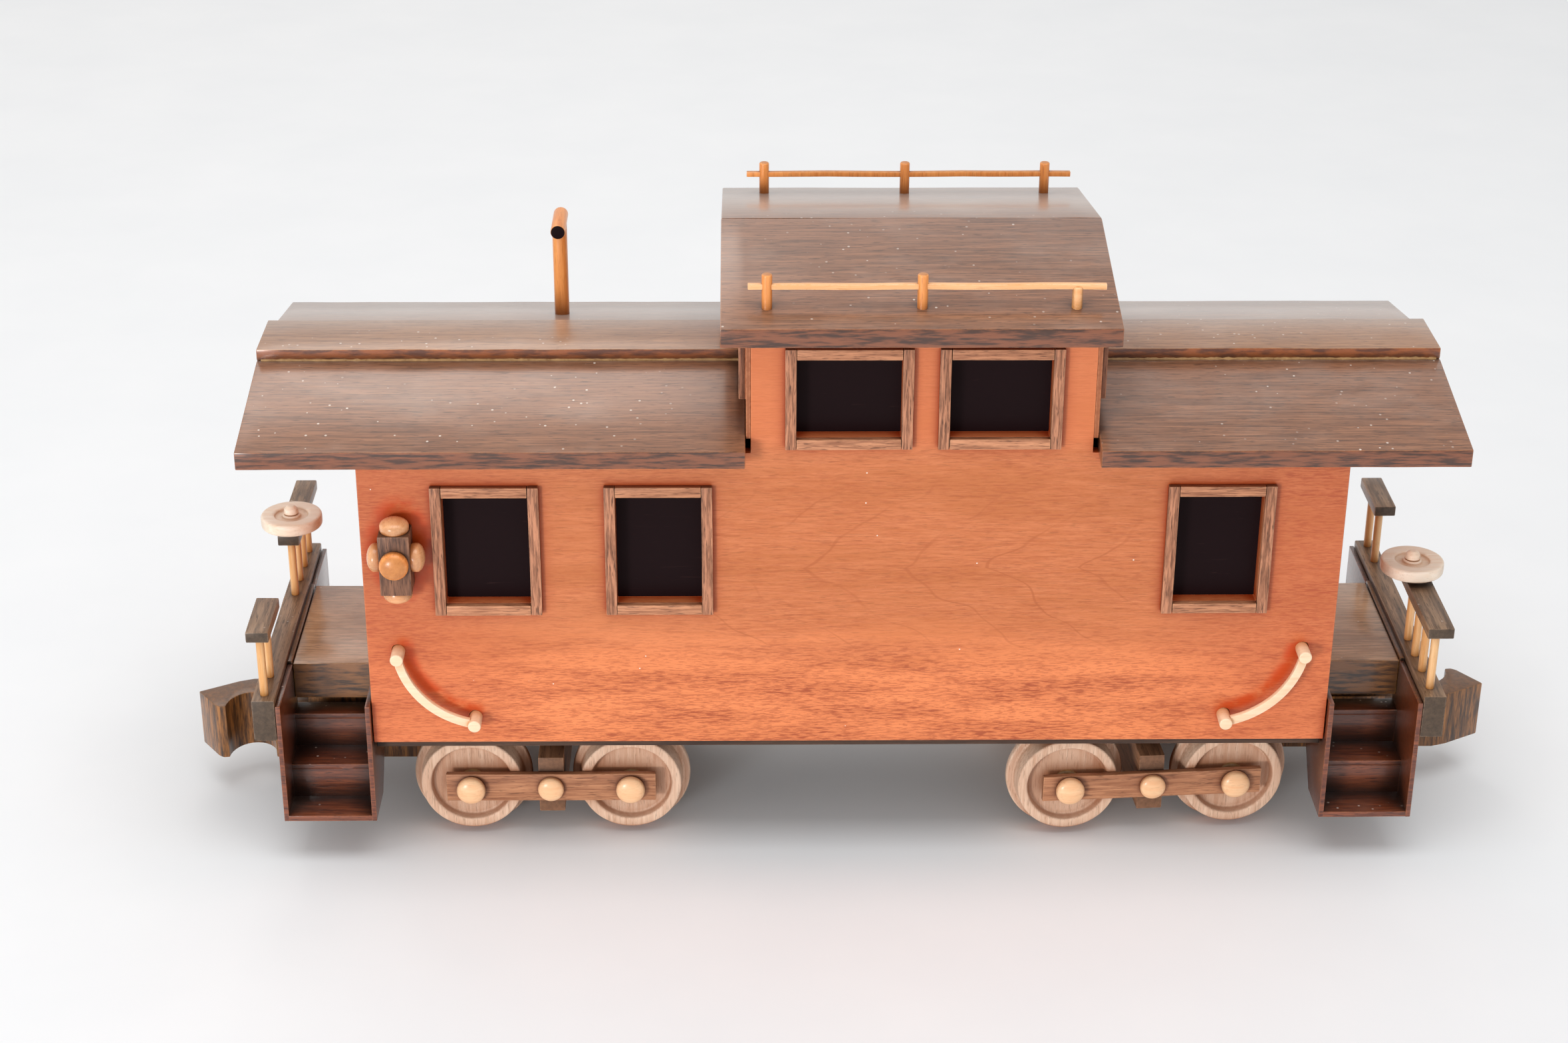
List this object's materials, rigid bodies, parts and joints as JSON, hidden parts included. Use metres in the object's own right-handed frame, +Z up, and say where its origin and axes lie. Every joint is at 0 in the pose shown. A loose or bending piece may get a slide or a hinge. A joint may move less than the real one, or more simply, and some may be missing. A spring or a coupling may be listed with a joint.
{
  "type": "wooden model caboose",
  "caption": "Wooden model railway caboose with a raised cupola, end platforms with steps and railings, hooked couplers, and swivelling trucks with flanged wheels that roll.",
  "frame": {"origin": "middle of the car on the plane that the wheel flanges stand on, which is the middle of the bottom of the bounding box", "axes": "+X along the car towards the end whose long railing is on the near (-Y) side, +Y across the car to the side with the smokestack, +Z up"},
  "size_m": [0.6544, 0.2016, 0.3038],
  "materials": {
    "red_stain": "satin red-orange stain over fine straight grain",
    "walnut": "semi-gloss oiled walnut",
    "trim": "matt brown walnut strips",
    "dark_stain": "dark stained wood with amber streaks",
    "mahogany": "satin deep red-brown",
    "maple": "pale satin maple",
    "amber": "orange stained dowel, satin",
    "beech": "pale pinkish-brown, matt",
    "bar_walnut": "mid brown, satin",
    "black_liner": "near-black sheet behind the windows"
  },
  "bodies": {
    "car": {"floor_panel": "dark_stain", "platform_board": "dark_stain", "side_wall_near": "red_stain", "cupola_roof_near": "walnut", "grab_rail_near": "amber", "marker_lamp_near": "walnut", "window_frame_near_1": "trim", "window_frame_near_2": "trim", "window_frame_near_3": "trim", "cupola_frame_near_1": "trim", "cupola_frame_near_2": "trim", "side_wall_far": "red_stain", "cupola_roof_far": "walnut", "grab_rail_far": "amber", "marker_lamp_far": "walnut", "window_frame_far_1": "trim", "window_frame_far_2": "trim", "window_frame_far_3": "trim", "cupola_frame_far_1": "trim", "cupola_frame_far_2": "trim", "end_wall_left": "red_stain", "cupola_end_left": "red_stain", "running_board_left": "walnut", "end_beam_left": "dark_stain", "roof_left_near": "walnut", "steps_left_near": "mahogany", "grab_handle_left_near": "maple", "roof_left_far": "walnut", "steps_left_far": "mahogany", "grab_handle_left_far": "maple", "railing_long_left": "walnut", "railing_short_left": "walnut", "coupler_left": "dark_stain", "end_wall_right": "red_stain", "cupola_end_right": "red_stain", "running_board_right": "walnut", "end_beam_right": "dark_stain", "roof_right_near": "walnut", "steps_right_near": "mahogany", "grab_handle_right_near": "maple", "roof_right_far": "walnut", "steps_right_far": "mahogany", "grab_handle_right_far": "maple", "railing_long_right": "walnut", "railing_short_right": "walnut", "coupler_right": "dark_stain", "window_liner": "black_liner", "smokestack": "amber"},
    "truck_left": {"bolster_left": "dark_stain", "side_bar_left_near": "bar_walnut", "side_bar_left_far": "bar_walnut"},
    "wheels_left_outer": {"wheelset_left_outer": "beech"},
    "wheels_left_inner": {"wheelset_left_inner": "beech"},
    "truck_right": {"bolster_right": "dark_stain", "side_bar_right_near": "bar_walnut", "side_bar_right_far": "bar_walnut"},
    "wheels_right_outer": {"wheelset_right_outer": "beech"},
    "wheels_right_inner": {"wheelset_right_inner": "beech"},
    "brake_left": {"brake_wheel_left": "maple"},
    "brake_right": {"brake_wheel_right": "maple"}
  },
  "joints": [
    {"name": "truck_left_swivel", "type": "hinge", "parent": "car", "child": "truck_left", "pos_m": [-0.1458, 0, 0.0291], "axis": [0, 0, 1], "range_deg": [-12, 12]},
    {"name": "wheels_left_outer_roll", "type": "hinge", "parent": "truck_left", "child": "wheels_left_outer", "pos_m": [-0.1849, 0, 0.0291], "axis": [0, 1, 0], "continuous": true},
    {"name": "wheels_left_inner_roll", "type": "hinge", "parent": "truck_left", "child": "wheels_left_inner", "pos_m": [-0.1067, 0, 0.0291], "axis": [0, 1, 0], "continuous": true},
    {"name": "truck_right_swivel", "type": "hinge", "parent": "car", "child": "truck_right", "pos_m": [0.1458, 0, 0.0291], "axis": [0, 0, 1], "range_deg": [-16.2, 7.8]},
    {"name": "wheels_right_outer_roll", "type": "hinge", "parent": "truck_right", "child": "wheels_right_outer", "pos_m": [0.18699, 0.00302, 0.0291], "axis": [-0.0732, 0.9973, 0], "continuous": true},
    {"name": "wheels_right_inner_roll", "type": "hinge", "parent": "truck_right", "child": "wheels_right_inner", "pos_m": [0.10461, -0.00302, 0.0291], "axis": [-0.0732, 0.9973, 0], "continuous": true},
    {"name": "brake_left_turn", "type": "hinge", "parent": "car", "child": "brake_left", "pos_m": [-0.2785, 0.027, 0.1296], "axis": [0, 0, 1], "continuous": true},
    {"name": "brake_right_turn", "type": "hinge", "parent": "car", "child": "brake_right", "pos_m": [0.2762, -0.027, 0.1296], "axis": [0, 0, 1], "continuous": true}
  ]
}
